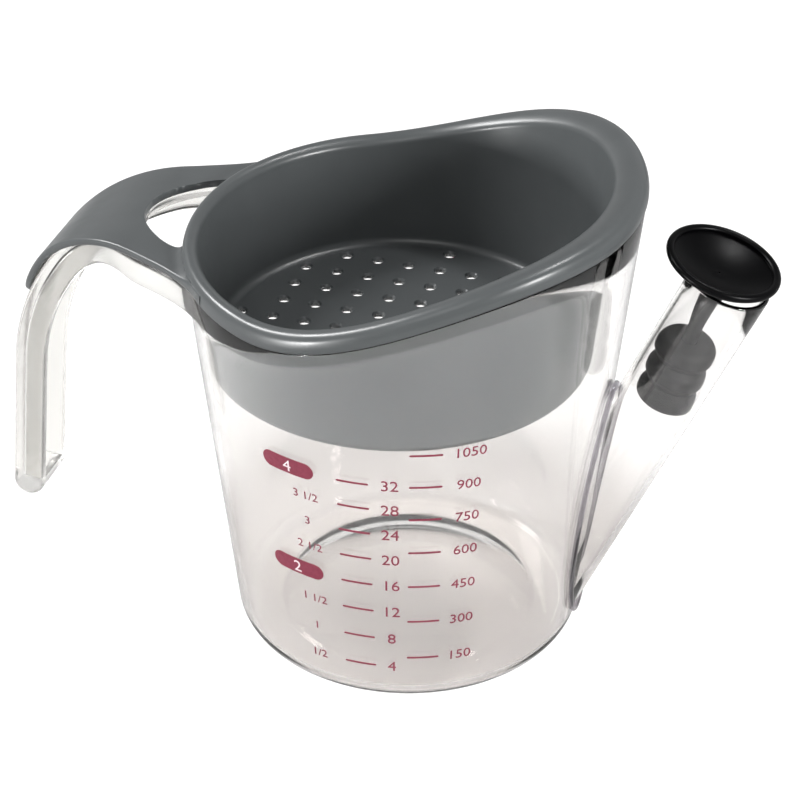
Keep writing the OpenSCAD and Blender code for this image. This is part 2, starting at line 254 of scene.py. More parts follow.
def turned(name, outline, place=None, smooth=35.0, stations=ROUND):
    """A turned piece: its half section as (radius, height) points, closed, placed by a matrix."""
    points = []
    for i in range(stations):
        a = 2 * math.pi * i / stations
        points += [Vector((r * math.cos(a), r * math.sin(a), z)) for r, z in outline]
    if place is not None:
        points = [place @ p for p in points]
    return mesh_object(name, points, loft_faces(stations, len(outline), along=True), smooth)


def prism(outline, low, high):
    """Points and faces of a straight prism over a closed plan outline."""
    count = len(outline)
    points = [(x, y, z) for z in (low, high) for x, y in outline]
    faces = [tuple(range(count))[::-1], tuple(range(count, 2 * count))]
    faces += [(i, (i + 1) % count, count + (i + 1) % count, count + i) for i in range(count)]
    return points, faces


def apply_modifier(obj, kind, **settings):
    """Adds a modifier with its settings and applies it."""
    modifier = obj.modifiers.new(kind.title(), kind)
    for key, value in settings.items():
        setattr(modifier, key, value)
    depsgraph = bpy.context.evaluated_depsgraph_get()
    mesh = bpy.data.meshes.new_from_object(obj.evaluated_get(depsgraph))
    obj.modifiers.clear()
    old = obj.data
    obj.data = mesh
    bpy.data.meshes.remove(old)


def carve(obj, *cutters):
    """Cuts solids out of an object and removes them."""
    for cutter in cutters:
        apply_modifier(obj, "BOOLEAN", operation="DIFFERENCE", solver="EXACT", object=cutter)
        bpy.data.objects.remove(cutter, do_unlink=True)
    clean(obj)


def join(name, objects):
    """Joins objects into the first one and names it."""
    work = bmesh.new()
    for obj in objects:
        work.from_mesh(obj.data)
    objects[0].name = name
    work.to_mesh(objects[0].data)
    work.free()
    for obj in objects[1:]:
        bpy.data.objects.remove(obj, do_unlink=True)
    return objects[0]


# -------------------------------- materials
def colour(code):
    """Linear colour of an sRGB hex value."""
    parts = [int(code[i:i + 2], 16) / 255 for i in (1, 3, 5)]
    return tuple(c / 12.92 if c <= 0.04045 else ((c + 0.055) / 1.055) ** 2.4 for c in parts) + (1.0,)


def add(tree, kind, links=None, values=None, **settings):
    """Adds a node, with settings on it, values on its sockets and links into its sockets."""
    node = tree.nodes.new(kind)
    for key, value in settings.items():
        setattr(node, key, value)
    for key, value in (values or {}).items():
        node.inputs[key].default_value = value
    for key, socket in (links or {}).items():
        tree.links.new(socket, node.inputs[key])
    return node


def material(name):
    """An empty node material, with its tree and the output node."""
    made = bpy.data.materials.new(name)
    made.use_nodes = True
    made.node_tree.nodes.clear()
    return made, made.node_tree, add(made.node_tree, "ShaderNodeOutputMaterial")


def per_mm(size):
    """Noise scale whose features are about this many millimetres wide."""
    return 1.0 / (size * MM)


def spread(tree, source, low, high):
    """Maps the middle of a noise to a range of values."""
    return add(tree, "ShaderNodeMapRange", {"Value": source},
               {"From Min": 0.3, "From Max": 0.7, "To Min": low, "To Max": high}).outputs["Result"]


def tinted(tree, factor, first, second):
    """Colour that goes from one sRGB hex value to another with a factor."""
    return add(tree, "ShaderNodeMix", {"Factor": factor}, {"A": colour(first), "B": colour(second)},
               data_type="RGBA").outputs["Result"]


def clear_styrene(name, tint, smooth, worn):
    """Styrene-acrylonitrile, injection moulded: water clear with a faint gray cast, hard gloss,
    and slow waves in the wall that bend what is seen through it. It goes from the roughness smooth
    to the roughness worn in smudges, and lets most of the lamps' light through."""
    made, tree, output = material(name)
    where = add(tree, "ShaderNodeTexCoord").outputs["Object"]
    waves = add(tree, "ShaderNodeTexNoise", {"Vector": where}, {"Scale": per_mm(26), "Detail": 1.0})
    smudges = add(tree, "ShaderNodeTexNoise", {"Vector": where}, {"Scale": per_mm(9), "Detail": 4.0})
    bump = add(tree, "ShaderNodeBump", {"Height": waves.outputs["Fac"]},
               {"Strength": 0.12, "Distance": 0.25 * MM})
    shader = add(tree, "ShaderNodeBsdfPrincipled",
                 {"Roughness": spread(tree, smudges.outputs["Fac"], smooth, worn),
                  "Normal": bump.outputs["Normal"]},
                 {"Base Color": colour(tint), "IOR": 1.57, "Transmission Weight": 1.0})
    path = add(tree, "ShaderNodeLightPath")
    to_lamps = add(tree, "ShaderNodeBsdfTransparent", values={"Color": colour("#e8e7e6")})
    mixed = add(tree, "ShaderNodeMixShader", {0: path.outputs["Is Shadow Ray"]})
    tree.links.new(shader.outputs[0], mixed.inputs[1])
    tree.links.new(to_lamps.outputs[0], mixed.inputs[2])
    tree.links.new(mixed.outputs[0], output.inputs["Surface"])
    return made


def moulded(name, base, shade, rough, grain, depth, patch=18.0, ior=1.49):
    """An opaque moulded plastic or rubber: colour that drifts from base to shade in patches, and a
    fine grain from the tool's surface that breaks the gloss. Patch, grain and depth are in mm."""
    made, tree, output = material(name)
    where = add(tree, "ShaderNodeTexCoord").outputs["Object"]
    drift = add(tree, "ShaderNodeTexNoise", {"Vector": where}, {"Scale": per_mm(patch), "Detail": 2.0})
    grains = add(tree, "ShaderNodeTexNoise", {"Vector": where}, {"Scale": per_mm(grain), "Detail": 2.0})
    wear = add(tree, "ShaderNodeTexNoise", {"Vector": where}, {"Scale": per_mm(patch / 3), "Detail": 1.0})
    bump = add(tree, "ShaderNodeBump", {"Height": grains.outputs["Fac"]},
               {"Strength": 0.3, "Distance": depth * MM})
    shader = add(tree, "ShaderNodeBsdfPrincipled",
                 {"Base Color": tinted(tree, spread(tree, drift.outputs["Fac"], 0, 1), base, shade),
                  "Roughness": spread(tree, wear.outputs["Fac"], rough - 0.02, rough + 0.03),
                  "Normal": bump.outputs["Normal"]},
                 {"IOR": ior})
    tree.links.new(shader.outputs[0], output.inputs["Surface"])
    return made


def printed(name, base, shade):
    """Pad-printed ink: a thin satin film, a little uneven in strength."""
    made, tree, output = material(name)
    where = add(tree, "ShaderNodeTexCoord").outputs["Object"]
    cover = add(tree, "ShaderNodeTexNoise", {"Vector": where}, {"Scale": per_mm(1.2), "Detail": 4.0})
    film = add(tree, "ShaderNodeBump", {"Height": cover.outputs["Fac"]},
               {"Strength": 0.3, "Distance": 0.02 * MM})
    shader = add(tree, "ShaderNodeBsdfPrincipled",
                 {"Base Color": tinted(tree, spread(tree, cover.outputs["Fac"], 0, 1), base, shade),
                  "Roughness": spread(tree, cover.outputs["Fac"], 0.32, 0.5),
                  "Normal": film.outputs["Normal"]},
                 {"IOR": 1.5})
    tree.links.new(shader.outputs[0], output.inputs["Surface"])
    return made


# Polished wall: clear and glossy
CLEAR = clear_styrene("clear_san_polished_moulding", "#f3f2f1", 0.015, 0.05)
# The handle's softer finish, which hides fingerprints and looks a little milky
CLEAR_SATIN = clear_styrene("clear_san_satin_moulding", "#d6d5d2", 0.14, 0.22)
# The fillet at the spout's foot, tinted darker: painted shade for the dark line where the tube meets the wall
CLEAR_PAINTED_SEAM_SHADE = clear_styrene("clear_san_painted_seam_shade", "#a3a0a6", 0.03, 0.07)
# Polypropylene from a spark-eroded tool: even, slightly cool gray, satin, with a grain of a
# quarter millimetre that is drawn at 0.5 mm so that it shows
GRAY = moulded("gray_polypropylene_spark_eroded", "#4f5253", "#4b4e4f", 0.31, 0.5, 0.008)
# Silicone rubber, moulded: darker gray, dull, slightly waxy
PLUG_GRAY = moulded("gray_silicone_moulded", "#080709", "#060507", 0.5, 0.6, 0.02, 9.0, 1.25)
# Thermoplastic elastomer, moulded: black with a soft satin gloss
CAP_BLACK = moulded("black_elastomer_moulded", "#020203", "#030304", 0.34, 0.45, 0.01, 8.0, 1.2)
INK_RED = printed("red_pad_printed_ink", "#862a42", "#7a233a")
INK_WHITE = printed("white_pad_printed_ink", "#efe4e6", "#e6d9dc")


def dress(obj, look, body, slot, *nodes):
    """Gives a piece its material and its body, and hides the solids that it stands for. The slot is not used.
    """
    obj.data.materials.clear()
    obj.data.materials.append(look)
    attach(obj, body)
    for name in nodes:
        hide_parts(name)


# -------------------------------- clear jug
def edge_arc(r0, z0, edge):
    """Rounded lower edge of a tapered cup: points from its flat bottom to its wall."""
    cx = r0 + TAPER * edge - edge * SLANT
    end = -math.degrees(math.atan(TAPER))
    return arc(cx, z0 + edge, edge, -90, end, 14)


def jug_section(angle):
    """Section of the jug at an angle, from the middle of the underside round to the middle of the floor."""
    hub = 0.4                       # the section stops here and a fan closes the middle
    soft, cut = 0.45, 0.13          # rounding of the rim's edges, and what it cuts off a corner
    rows_up = 12
    ledge = below_rim(angle, jug_r, LIP_DROP + FIT_GAP)
    top = below_rim(angle, lambda z: jug_r(z) - RIM_STEP, LIP_CORNER_DROP + FIT_GAP)
    points = [(hub, BASE_RECESS), (FOOT_RING_IN / 2, BASE_RECESS), (FOOT_RING_IN, BASE_RECESS)]
    points += [(FOOT_RING_IN + 1.5, 0.3), (FOOT_RING_OUT, 0)]
    points += edge_arc(jug_r(0), 0, BASE_EDGE_R)
    points += [(jug_r(z), z) for z in spaced(BASE_EDGE_R, ledge - soft, rows_up)[1:]]
    ledge_r = jug_r(ledge)
    points += [(ledge_r - 0.15, ledge - 0.12), (ledge_r - soft, ledge), (ledge_r - RIM_STEP, ledge)]
    rim_out, rim_in = jug_r(top) - RIM_STEP, jug_bore_r(top)
    points += [(rim_out, top - soft), (rim_out - cut, top - cut), (rim_out - soft, top)]
    points += [(rim_in + soft, top), (rim_in + cut, top - cut), (rim_in, top - soft)]
    inner_edge = BASE_EDGE_R - JUG_WALL
    points += [(jug_bore_r(z), z) for z in spaced(top - soft, FLOOR_T + inner_edge, rows_up)[1:-1]]
    points += edge_arc(jug_bore_r(FLOOR_T), FLOOR_T, inner_edge)[::-1]
    points += [(30, FLOOR_T), (hub, FLOOR_T)]
    return points


def along(axis_angle, x, s, r, theta):
    """Point at a distance up a leaning axis from (x, 0, 0), off the axis by r in direction theta."""
    side = r * math.cos(theta)
    return Vector((x + s * math.sin(axis_angle) + side * math.cos(axis_angle), r * math.sin(theta),
                   s * math.cos(axis_angle) - side * math.sin(axis_angle)))


def port_cutter():
    """The tube's bore run on into the jug, kept between the lower and upper end of the port."""
    count = 48
    run = (2.0, 60.0)               # along the tube's axis, past both ends of the port
    points = [along(SPOUT_TILT, SPOUT_FOOT_X, s, SPOUT_R - SPOUT_WALL, 2 * math.pi * i / count)
              for i in range(count) for s in run]
    cutter = mesh_object("port_cutter", points, loft_faces(count, 2) + end_fans(count, 2))
    work = bmesh.new()
    work.from_mesh(cutter.data)
    for z, normal in ((PORT_LOW_Z, (0, 0, -1)), (PORT_HIGH_Z, (0, 0, 1))):
        cut = bmesh.ops.bisect_plane(work, geom=work.verts[:] + work.edges[:] + work.faces[:],
                                     plane_co=(0, 0, z * MM), plane_no=normal, clear_outer=True)
        edges = [e for e in cut["geom_cut"] if isinstance(e, bmesh.types.BMEdge)]
        bmesh.ops.contextual_create(work, geom=edges)
    bmesh.ops.recalc_face_normals(work, faces=work.faces)
    work.to_mesh(cutter.data)
    work.free()
    return cutter


def jug_body():
    """The jug: wall, stepped rim, thick base on a foot ring, and the port to the spout."""
    points = []
    for i in range(ROUND):
        a = 2 * math.pi * i / ROUND
        points += [(r * math.cos(a), r * math.sin(a), z) for r, z in jug_section(a)]
    rows = len(points) // ROUND
    obj = mesh_object("jug_shell", points, loft_faces(ROUND, rows) + end_fans(ROUND, rows))
    carve(obj, port_cutter())
    dress(obj, CLEAR, "jug", "clear_jug", "jug_body")


def wall_crossing(r, theta, gap):
    """How far up the spout's axis a line of the tube leaves the jug's wall."""
    low, high = 0.0, SPOUT_L
    for _ in range(40):
        middle = (low + high) / 2
        p = along(SPOUT_TILT, SPOUT_FOOT_X, middle, r, theta)
        if math.hypot(p.x, p.y) > jug_r(p.z) + gap:
            high = middle
        else:
            low = middle
    return high


def mouth_crossing(r, theta):
    """How far up the spout's axis a line of the tube meets the plane of its mouth."""
    lean = SPOUT_TILT - STOPPER_LEAN
    normal = Vector((math.sin(lean), 0, math.cos(lean)))
    axis = Vector((math.sin(SPOUT_TILT), 0, math.cos(SPOUT_TILT)))
    middle = along(SPOUT_TILT, SPOUT_FOOT_X, SPOUT_L, 0, 0)
    foot = along(SPOUT_TILT, SPOUT_FOOT_X, 0, r, theta)
    return (middle - foot).dot(normal) / axis.dot(normal)


def spout():
    """The spout's tube: its lower end follows the jug's wall, its mouth is a rounded lip."""
    bore = SPOUT_R - SPOUT_WALL
    lip = SPOUT_WALL / 2
    stations, rows_up = ROUND // 2, 10
    points = []
    for i in range(stations):
        theta = 2 * math.pi * i / stations
        out_low, out_high = wall_crossing(SPOUT_R, theta, BOND_GAP), mouth_crossing(SPOUT_R, theta) - lip
        in_low, in_high = wall_crossing(bore, theta, BOND_GAP), mouth_crossing(bore, theta) - lip
        column = [(SPOUT_R, s) for s in spaced(out_low, out_high, rows_up)]
        for x, y in arc(0, 0, lip, 22.5, 157.5, 6):
            r = bore + lip + x
            column.append((r, mouth_crossing(r, theta) - lip + y))
        column += [(bore, s) for s in spaced(in_high, in_low, rows_up)]
        points += [along(SPOUT_TILT, SPOUT_FOOT_X, s, r, theta) for r, s in column]
    obj = mesh_object("spout_tube", points, loft_faces(stations, len(points) // stations, along=True))
    dress(obj, CLEAR, "jug", "clear_jug", "spout")


def spout_seam():
    """The small fillet that runs round the foot of the spout, in the corner between tube and wall."""
    fillet, clearance = 0.9, 0.05
    sides, stations = 10, 144
    centres = []
    for i in range(stations):
        theta = 2 * math.pi * i / stations
        p = along(SPOUT_TILT, SPOUT_FOOT_X, wall_crossing(SPOUT_R, theta, 0.0), SPOUT_R, theta)
        out = math.hypot(p.x, p.y)
        wall = Vector((p.x / out, p.y / out, -TAPER)).normalized()
        tube = along(SPOUT_TILT, 0, 0, 1, theta)
        centres.append(p + (wall + tube) * (fillet + clearance) / (1 + wall.dot(tube)))
    points = []
    for i, centre in enumerate(centres):
        way = (centres[(i + 1) % stations] - centres[i - 1]).normalized()
        side = way.cross(Vector((0, 0, 1))).normalized()
        up = side.cross(way)
        points += [centre + fillet * (math.cos(a) * side + math.sin(a) * up)
                   for a in (2 * math.pi * k / sides for k in range(sides))]
    obj = mesh_object("spout_foot_fillet", points, loft_faces(stations, sides, along=True), smooth=60.0)
    # the darker tint is painted shade along the corner between tube and wall
    dress(obj, CLEAR_PAINTED_SEAM_SHADE, "jug", "clear_jug")


# -------------------------------- handle and tab
ROOT_ANGLE = math.radians(43)       # where the tab's edge leaves the flange, from the handle's line
ROOT_PULL = (-9.0, -11.0)           # way in which it leaves
FALL = (-10.0, -4.4)                # slope of the tab's edges from shoulder to neck
# cutters reach from the low height to a high one, past what they cut
CUT_LOW_Z = 100.0
HOLE_CUT_HIGH_Z, FLANGE_CUT_HIGH_Z = 160.0, 170.0


def shifted(p, q, k=1.0):
    """A plan point moved by k times a step."""
    return (p[0] + k * q[0], p[1] + k * q[1])


def edge_to_shoulder(inset):
    """Plan curve from where the tab's edge leaves the flange to its shoulder, moved inwards."""
    root = (-FLANGE_R * math.cos(ROOT_ANGLE), FLANGE_R * math.sin(ROOT_ANGLE) - inset)
    shoulder = (-FLANGE_R - TAB_SHOULDER_OUT, TAB_SHOULDER_W / 2 - inset)
    return bezier(root, shifted(root, ROOT_PULL), shifted(shoulder, FALL, -0.8), shoulder), shoulder


def tab_edge():
    """The tab's edge in plan, from the flange to the tip of its nose."""
    first, shoulder = edge_to_shoulder(0.0)
    neck = (TAB_NOSE_L - FLANGE_R - TAB_LENGTH, TAB_NECK_W / 2)
    nose = (-FLANGE_R - TAB_LENGTH, 0.0)
    side = bezier(shoulder, shifted(shoulder, FALL), shifted(neck, FALL, -1), neck)
    end = bezier(neck, shifted(neck, FALL), shifted(nose, (0, TAB_NECK_W / 4)), nose, 40)
    return first + side + end + [nose]


def handle_edge(inset):
    """The handle's edge in plan, from the flange to where it is as wide as the grip."""
    side_inset = HANDLE_ROOT_INSET + inset * math.hypot(*FALL) / abs(FALL[0])
    first, shoulder = edge_to_shoulder(side_inset)
    neck = (-HANDLE_RUN - BEND_R * math.sin(math.pi / 4), HANDLE_W / 2 - inset)
    return first + bezier(shoulder, shifted(shoulder, FALL), shifted(neck, (-FALL[0], 0)), neck) + [neck]


def half_width(edge, x):
    """Half the width of a plan outline at a place along X; the edge runs towards -X."""
    if x >= edge[0][0]:
        slope = (edge[1][1] - edge[0][1]) / (edge[1][0] - edge[0][0])
        return edge[0][1] + slope * (x - edge[0][0])
    for (x0, y0), (x1, y1) in zip(edge, edge[1:]):
        if x1 <= x <= x0 and x0 > x1:
            return y0 + (y1 - y0) * (x0 - x) / (x0 - x1)
    return edge[-1][1]


def hole_outline(grow):
    """Plan of the opening shared by the tab and the handle's root."""
    tip = (-FLANGE_R - TAB_HOLE_L - grow, 0.0)
    side = (-FLANGE_R - TAB_HOLE_L / 3 - grow / 2, 0.4 * TAB_HOLE_W + grow)
    corner = (1.0 - math.sqrt(FLANGE_R ** 2 - TAB_HOLE_W ** 2 / 4), TAB_HOLE_W / 2 + grow)
    pull = (5.5, 4.5)
    near = bezier(tip, shifted(tip, (0, TAB_HOLE_L / 2)), shifted(side, pull, -1), side)
    far = bezier(side, shifted(side, pull, 0.5), shifted(corner, (pull[0] / 2, 0), -1), corner)
    upper = near + far + [corner]
    return upper + [(x, -y) for x, y in upper[:0:-1]]


def hole_cutter(grow=0.0):
    """The opening as a solid, to cut it."""
    return mesh_object("hole_cutter", *prism(hole_outline(grow), CUT_LOW_Z, HOLE_CUT_HIGH_Z))


def path_stations(end_run, step):
    """Stations along the handle's outer face: (x, z, outward normal x, outward normal z)."""
    start_x = HANDLE_START_X
    bend_c = Vector((-HANDLE_RUN, HANDLE_TOP_Z - BEND_R))
    turn = Vector((math.cos(BEND_END), math.sin(BEND_END)))
    sweep_c = bend_c + (BEND_R - SWEEP_R) * turn
    stations = []
    count = max(1, round((start_x + HANDLE_RUN) / step))
    for i in range(count):
        stations.append((start_x + (-HANDLE_RUN - start_x) * i / count, HANDLE_TOP_Z, 0.0, 1.0))
    bends = ((bend_c, BEND_R, math.pi / 2, BEND_END), (sweep_c, SWEEP_R, BEND_END, SWEEP_END))
    for centre, radius, first, last in bends:
        count = round(radius * (last - first) / step)
        for i in range(count):
            a = first + (last - first) * i / count
            c, s = math.cos(a), math.sin(a)
            stations.append((centre.x + radius * c, centre.y + radius * s, c, s))
    end = Vector((math.cos(SWEEP_END), math.sin(SWEEP_END)))
    foot = sweep_c + SWEEP_R * end
    down = Vector((-end.y, end.x))
    count = max(1, round(end_run / (3 * step)))
    for i in range(count + 1):
        p = foot + down * (end_run * i / count)
        stations.append((p.x, p.y, end.x, end.y))
    return stations


def rounded_bar(half, top, bottom, corner, across=10):
    """Closed section of a bar as (side, depth): depth is along the outward normal."""
    corner = min(corner, half * 0.98, (top - bottom) / 2 * 0.98)
    points = []
    for sx, sy, start in ((1, 1, 0), (-1, 1, 90), (-1, -1, 180), (1, -1, 270)):
        cx = sx * (half - corner)
        cy = (top - corner) if sy > 0 else (bottom + corner)
        points += arc(cx, cy, corner, start, start + 90, 5)
        if sy > 0 and sx > 0:
            points += [(cx - 2 * cx * k / across, top) for k in range(1, across)]
        if sy < 0 and sx < 0:
            points += [(cx - 2 * cx * k / across, bottom) for k in range(1, across)]
    return points


def swept(name, stations, section_at):
    """Sweeps sections along stations and closes both ends with a fan."""
    points = []
    for index, (x, z, nx, nz) in enumerate(stations):
        points += [(x + d * nx, y, z + d * nz) for y, d in section_at(index, x)]
    count = len(stations)
    rows = len(points) // count
    faces = loft_faces(count, rows, around=False, along=True)
    faces += [tuple(range(rows))[::-1], tuple(range((count - 1) * rows, count * rows))]
    return mesh_object(name, points, faces)


def jug_cutter():
    """The space inside the jug's outer wall and a hairline more, past its top and bottom."""
    low, high = -20.0, 200.0
    outline = [(AXIS_R, low), (jug_r(low) + BOND_GAP, low), (jug_r(high) + BOND_GAP, high), (AXIS_R, high)]
    return turned("jug_cutter", outline)


def handle():
    """The clear handle: a channel bar with a flared root, cut to the jug's wall."""
    corner, tip = 1.3, HANDLE_T / 2      # rounding along the bar, and radius of its end in side view
    narrowing, least = 0.55, 0.15        # how much of that rounding the width gets; last half depth
    hole_grow = 0.6                      # the opening is larger than the tab's all round
    step, tip_steps = 1.2, 10
    stations = path_stations(GRIP_L, step)
    last_x, last_z, nx, nz = stations[-1]
    for k in range(1, tip_steps + 1):
        run = tip * math.sin(math.pi / 2 * k / tip_steps)
        stations.append((last_x - nz * run, last_z + nx * run, nx, nz))
    edge, inner_edge = handle_edge(0.0), handle_edge(HANDLE_WALL)
    grip_end = len(stations) - tip_steps

    def bar(index, x):
        k = max(0, index - grip_end + 1) / tip_steps
        depth = max(tip * math.cos(math.pi / 2 * k), least)
        half = half_width(edge, x) - tip * (1 - math.sqrt(1 - (narrowing * k) ** 2))
        return rounded_bar(half, depth - tip, -depth - tip, corner)

    obj = swept("handle_bar", stations, bar)
    channel_path = path_stations(GRIP_L - HANDLE_WALL / 2, step)
    channel = swept("channel_cutter", channel_path,
                    lambda index, x: rounded_bar(half_width(inner_edge, x), -HANDLE_WALL, -2 * HANDLE_T, 1.0))
    carve(obj, channel, jug_cutter(), hole_cutter(hole_grow))
    dress(obj, CLEAR_SATIN, "jug", "clear_jug", "handle")


def strainer_tab():
    """The gray tab over the handle: a thin arched sheet with rounded edges, blended up into the flange."""
    edge = tab_edge()
    tip_x = -FLANGE_R - TAB_LENGTH
    lift, reach = 1.3, 3.6               # how far the blend rises, and how far out it starts
    corner, least, bevel = 0.9, 0.4, 0.45    # edge rounding, last half width, rounding of the cuts
    outer = FIT_GAP + SHEET_T
    kept = [station for station in path_stations(0.0, 0.8)
            if station[0] + outer * station[2] > tip_x + 0.02]

    def sheet(index, x):
        nx = kept[index][2]
        half = max(half_width(edge, x + outer * nx), least)
        return rounded_bar(half, outer, FIT_GAP, corner, across=28)

    obj = swept("strainer_tab_arch", kept, sheet)
    for vertex in obj.data.vertices:
        x, y, z = vertex.co / MM
        away = math.hypot(x, y) - FLANGE_R
        if z > HANDLE_TOP_Z + outer - 1.0 and away < reach and x > -HANDLE_RUN:
            t = 1 - max(0.0, min(1.0, away / reach))
            vertex.co.z += MM * lift * (1 - math.sqrt(1 - t * t))
    rim_r = FLANGE_R - 0.4               # the tab runs this far into the flange
    inside = turned("flange_cutter", [(AXIS_R, CUT_LOW_Z), (rim_r, CUT_LOW_Z),
                                      (rim_r, FLANGE_CUT_HIGH_Z), (AXIS_R, FLANGE_CUT_HIGH_Z)])
    carve(obj, inside, hole_cutter())
    apply_modifier(obj, "BEVEL", width=bevel * MM, segments=2, limit_method="ANGLE",
                   angle_limit=math.radians(55), use_clamp_overlap=True)
    clean(obj)
    dress(obj, GRAY, "strainer", "strainer_gray", "strainer_tab")


# -------------------------------- strainer bowl
def flange_rows():
    """Section of the flange and the wall under it, from inside over the crest to outside, as
    (share of the way from inner to outer edge, shift outwards, height over the rim line)."""
    wall_in = TAPER * FLANGE_DEPTH
    lip_in = FIT_GAP - RIM_STEP
    soft = 0.25                          # rounding of the lip's lower edge
    crest = through([(0, -0.03, -1.9), (0.03, 0, -0.3),
                     (0.14, 0, 0.4 * FLANGE_CROWN), (0.34, 0, 0.85 * FLANGE_CROWN),
                     (0.56, 0, FLANGE_CROWN), (0.76, 0, 0.8 * FLANGE_CROWN), (0.91, 0, 0.2 * FLANGE_CROWN),
                     (0.985, 0, -1.5), (1, 0, -2.9), (1, -0.03, -LIP_DROP + soft)], 4)
    under = [(1, -soft, -LIP_DROP), (1, lip_in + 0.2, -LIP_DROP), (1, lip_in, -LIP_DROP + soft),
             (1, lip_in, -LIP_CORNER_DROP), (0.8, 0, FLANGE_CROWN - 1.05 * SHEET_T),
             (0.56, 0, FLANGE_CROWN - SHEET_T), (0.42, 0, 0.9 * FLANGE_CROWN - SHEET_T),
             (0, BASKET_WALL, -1.8), (0, BASKET_WALL - wall_in, -FLANGE_DEPTH)]
    return [(0, -wall_in, -FLANGE_DEPTH)] + crest + under


def flange_point(angle, row):
    """A point of the flange; the inner edge is about the basket's axis, the outer about the jug's."""
    share, shift, rise = row
    c, s = math.cos(angle), math.sin(angle)
    inner_r = basket_bore_r(rim_z(basket_bore_r(RIM_LOW_Z) * c - BASKET_SHIFT))
    trim = 0.04                          # keeps the flange just inside the solid's own edge
    outer_r = jug_r(rim_z(jug_r(RIM_LOW_Z) * c)) - trim
    x = inner_r * c - BASKET_SHIFT
    x += (outer_r * c - x) * share + shift * c
    y = inner_r * s + (outer_r - inner_r) * s * share + shift * s
    return Vector((x, y, rim_z(x) + rise))


def drain_holes(floor_top):
    """Middles of the drain holes: a square grid inside a solid ring."""
    reach_r = basket_bore_r(floor_top) - DRAIN_MARGIN - DRAIN_D / 2
    reach = math.ceil(reach_r / DRAIN_PITCH)
    steps = range(-reach, reach + 1)
    return [(i * DRAIN_PITCH - BASKET_SHIFT, j * DRAIN_PITCH) for i in steps for j in steps
            if math.hypot(i, j) * DRAIN_PITCH <= reach_r]


def floor_side(points, faces, ring, holes, z, inwards, middle_z):
    """Adds one side of the basket's floor: a plate inside a ring, and each hole down to the middle."""
    sides = 24
    wide = DRAIN_D / 2 + DRAIN_CHAMFER
    plan = [Vector((p.x, p.y)) for p in ring]
    loops = [list(range(ROUND))]
    for x, y in holes:
        loops.append([len(plan) + k for k in range(sides)])
        plan += [Vector(p) for p in circle(x, y, wide, sides)]
    edges = [(loop[k], loop[(k + 1) % len(loop)]) for loop in loops for k in range(len(loop))]
    flat, _, triangles, sources, *_ = delaunay_2d_cdt(plan, edges, [], 0, 1e-5)
    first = len(points)
    points += [Vector((p.x, p.y, z)) for p in flat]
    # a triangle whose corners all belong to one hole is the hole itself, so it is left out
    loop_of = [(source[0] - ROUND) // sides if source[0] >= ROUND else -1 for source in sources]
    for triangle in triangles:
        loops_met = {loop_of[k] for k in triangle}
        if len(loops_met) > 1 or -1 in loops_met:
            faces.append(tuple(first + k for k in triangle))
    profile = [(wide, z), (DRAIN_D / 2, z + inwards * DRAIN_CHAMFER), (DRAIN_D / 2, middle_z)]
    for x, y in holes:
        start = len(points)
        rings = [circle(x, y, r, sides) for r, _ in profile]
        points += [Vector((*rings[row][k], profile[row][1])) for k in range(sides) for row in range(3)]
        faces += [tuple(start + k for k in face) for face in loft_faces(sides, 3)]


def strainer_bowl():
    """Basket and flange in one moulding: floor with chamfered drain holes, wall, rolled flange."""
    floor_top = BASKET_FLOOR_Z + BASKET_WALL
    inner = edge_arc(basket_bore_r(floor_top), floor_top, BASKET_EDGE_R - BASKET_WALL / 2)
    outer = edge_arc(basket_r(BASKET_FLOOR_Z), BASKET_FLOOR_Z, BASKET_EDGE_R)
    rim_rows = flange_rows()
    rows_up = 8
    points = []
    for i in range(ROUND):
        a = 2 * math.pi * i / ROUND
        c, s = math.cos(a), math.sin(a)
        inside = [Vector((r * c - BASKET_SHIFT, r * s, z)) for r, z in inner]
        outside = [Vector((r * c - BASKET_SHIFT, r * s, z)) for r, z in outer]
        rim = [flange_point(a, row) for row in rim_rows]
        points += inside
        points += [inside[-1].lerp(rim[0], k / rows_up) for k in range(1, rows_up)]
        points += rim
        points += [rim[-1].lerp(outside[-1], k / rows_up) for k in range(1, rows_up)]
        points += outside[::-1]
    rows = len(points) // ROUND
    faces = loft_faces(ROUND, rows)
    holes = drain_holes(floor_top)
    middle_z = (floor_top + BASKET_FLOOR_Z) / 2
    for ring_row, z, inwards in ((0, floor_top, -1), (rows - 1, BASKET_FLOOR_Z, 1)):
        ring = [points[i * rows + ring_row] for i in range(ROUND)]
        floor_side(points, faces, ring, holes, z, inwards, middle_z)
    obj = mesh_object("strainer_bowl", points, faces, smooth=40.0)
    dress(obj, GRAY, "strainer", "strainer_gray", "strainer_basket", "strainer_flange")


# -------------------------------- stopper
def stopper_place():
    """Frame of the stopper: its origin is the middle of the plug, its Z runs up its own axis."""
    centre = along(SPOUT_TILT, SPOUT_FOOT_X, SPOUT_L - PLUG_DEPTH, 0, 0)
    return Matrix.Translation(centre) @ Matrix.Rotation(SPOUT_TILT - STOPPER_LEAN, 4, "Y")


STOPPER = stopper_place()
# distances up the stopper's own axis, from the middle of the plug
MOUTH_S = PLUG_DEPTH * math.cos(STOPPER_LEAN)
CAP_RIM_S = MOUTH_S + CAP_RISE
STEM_FOOT_S = PLUG_L / 2 - 0.6 * PLUG_L


